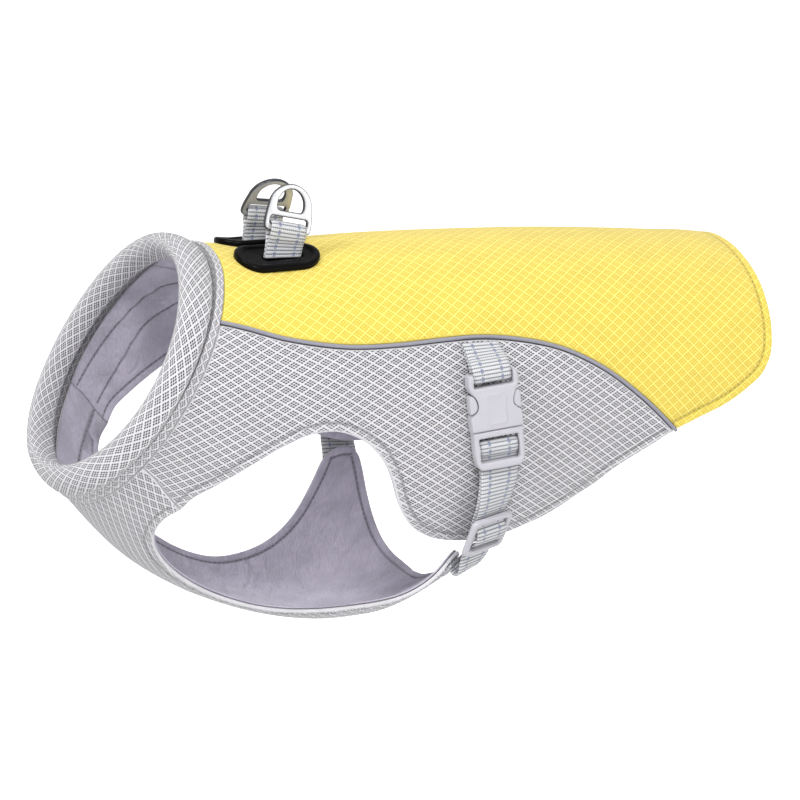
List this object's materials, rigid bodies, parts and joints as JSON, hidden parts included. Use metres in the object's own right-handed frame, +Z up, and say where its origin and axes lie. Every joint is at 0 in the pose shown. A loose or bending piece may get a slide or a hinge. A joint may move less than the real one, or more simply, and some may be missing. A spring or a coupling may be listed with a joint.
{
  "type": "dog cooling vest",
  "caption": "Dog cooling vest in worn shape: hollow mesh body with padded neck ring, leg openings, belly arms on side buckles and lead rings on the back.",
  "frame": {"origin": "on the wearer's back: inner face of the back lining, on the midline, between the two lead rings", "axes": "+Z up, -X towards the wearer's head, -Y to the wearer's left"},
  "size_m": [0.3858, 0.1791, 0.2375],
  "materials": {
    "yellow_mesh": "polyester air mesh with a raised diamond knit",
    "grey_mesh": "polyester air mesh with a raised diamond knit",
    "lining_knit": "brushed knit",
    "piping_cord": "woven tape over a cord",
    "reflective_webbing": "ribbed webbing with reflective yarn",
    "black_plastic": "smooth moulded plastic",
    "grey_plastic": "satin acetal",
    "chromed_steel": "polished chrome plate"
  },
  "bodies": {
    "vest": {"back_panel": "yellow_mesh", "side_panel_left": "grey_mesh", "side_panel_right": "grey_mesh", "belly_panel": "grey_mesh", "neck_roll": "grey_mesh", "neck_seam_band": "grey_mesh", "lining_back": "lining_knit", "lining_side_left": "lining_knit", "lining_side_right": "lining_knit", "lining_belly": "lining_knit", "piping_left": "piping_cord", "piping_right": "piping_cord", "eyelet_left": "black_plastic", "eyelet_right": "black_plastic", "ring_loop_left": "reflective_webbing", "ring_loop_right": "reflective_webbing", "buckle_female_left": "grey_plastic", "buckle_male_left": "grey_plastic", "buckle_female_right": "grey_plastic", "buckle_male_right": "grey_plastic", "slider_left": "grey_plastic", "slider_right": "grey_plastic", "strap_upper_left": "reflective_webbing", "strap_upper_right": "reflective_webbing", "strap_lower_left": "reflective_webbing", "strap_lower_right": "reflective_webbing"},
    "ring_left": {"lead_ring_left": "chromed_steel"},
    "ring_right": {"lead_ring_right": "chromed_steel"}
  },
  "joints": [
    {"name": "ring_swing_left", "type": "hinge", "parent": "vest", "child": "ring_left", "pos_m": [0.0047, -0.015, 0.0174], "axis": [0.9816, 0, -0.1908], "range_deg": [-20, 105]},
    {"name": "ring_swing_right", "type": "hinge", "parent": "vest", "child": "ring_right", "pos_m": [0.004, 0.015, 0.0174], "axis": [-0.9962, 0, 0.0872], "range_deg": [-8, 117]}
  ]
}
